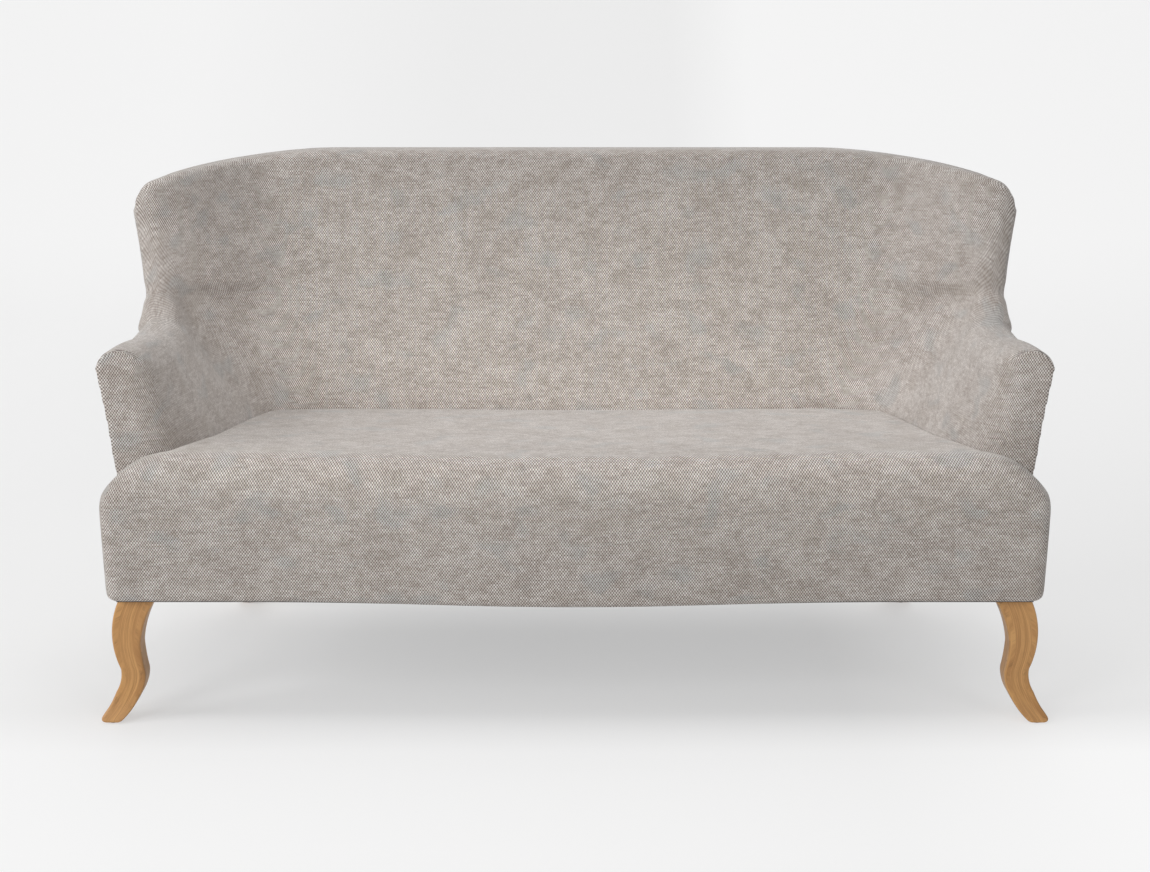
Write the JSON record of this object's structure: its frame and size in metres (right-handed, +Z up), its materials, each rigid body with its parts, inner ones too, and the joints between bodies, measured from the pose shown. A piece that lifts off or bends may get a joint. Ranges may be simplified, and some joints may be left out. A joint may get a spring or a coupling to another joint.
{
  "type": "sofa",
  "caption": "Compact upholstered sofa with a fan-shaped winged back, low scooped arms, one tight T-shaped seat with a bowed front and S-curved wooden legs.",
  "frame": {"origin": "centre of the bounding box at floor level, under the middle of the sofa", "axes": "+Z up, +X along the length to the viewer's right when facing the front, +Y from the seat front to the back, so the front faces -Y"},
  "size_m": [1.7344, 0.7818, 0.9631],
  "materials": {
    "upholstery": "mottled warm grey woven",
    "leg_wood": "golden oak, satin",
    "frame_timber": "planed beech",
    "frame_board": "plain board",
    "webbing": "elastic webbing",
    "foam": "open cell foam",
    "felt": "needled felt",
    "dust_cloth": "black nonwoven",
    "steel": "zinc plated",
    "glide": "nylon glide"
  },
  "bodies": {
    "root": {"front_rail": "frame_timber", "rear_rail": "frame_timber", "side_rail_left": "frame_timber", "side_rail_right": "frame_timber", "corner_blocks": "frame_timber", "seat_stretchers": "frame_timber", "back_post_left": "frame_timber", "back_post_right": "frame_timber", "arm_top_rail_left": "frame_timber", "arm_top_rail_right": "frame_timber", "arm_lower_rail_left": "frame_timber", "arm_lower_rail_right": "frame_timber", "crest_rail": "frame_timber", "back_lower_rail": "frame_timber", "back_slats": "frame_timber", "arm_panel_left": "frame_board", "arm_panel_right": "frame_board", "wing_panel_left": "frame_board", "wing_panel_right": "frame_board", "back_board": "frame_board", "seat_webbing_long": "webbing", "seat_webbing_cross": "webbing", "back_webbing_upright": "webbing", "back_webbing_cross": "webbing", "seat_foam": "foam", "back_foam": "foam", "arm_foams": "foam", "seat_felt": "felt", "seat_cover": "upholstery", "back_cover": "upholstery", "arm_covers": "upholstery", "dust_cover": "dust_cloth", "front_legs": "leg_wood", "rear_legs": "leg_wood", "leg_bolts": "steel", "leg_glides": "glide"}
  },
  "joints": []
}
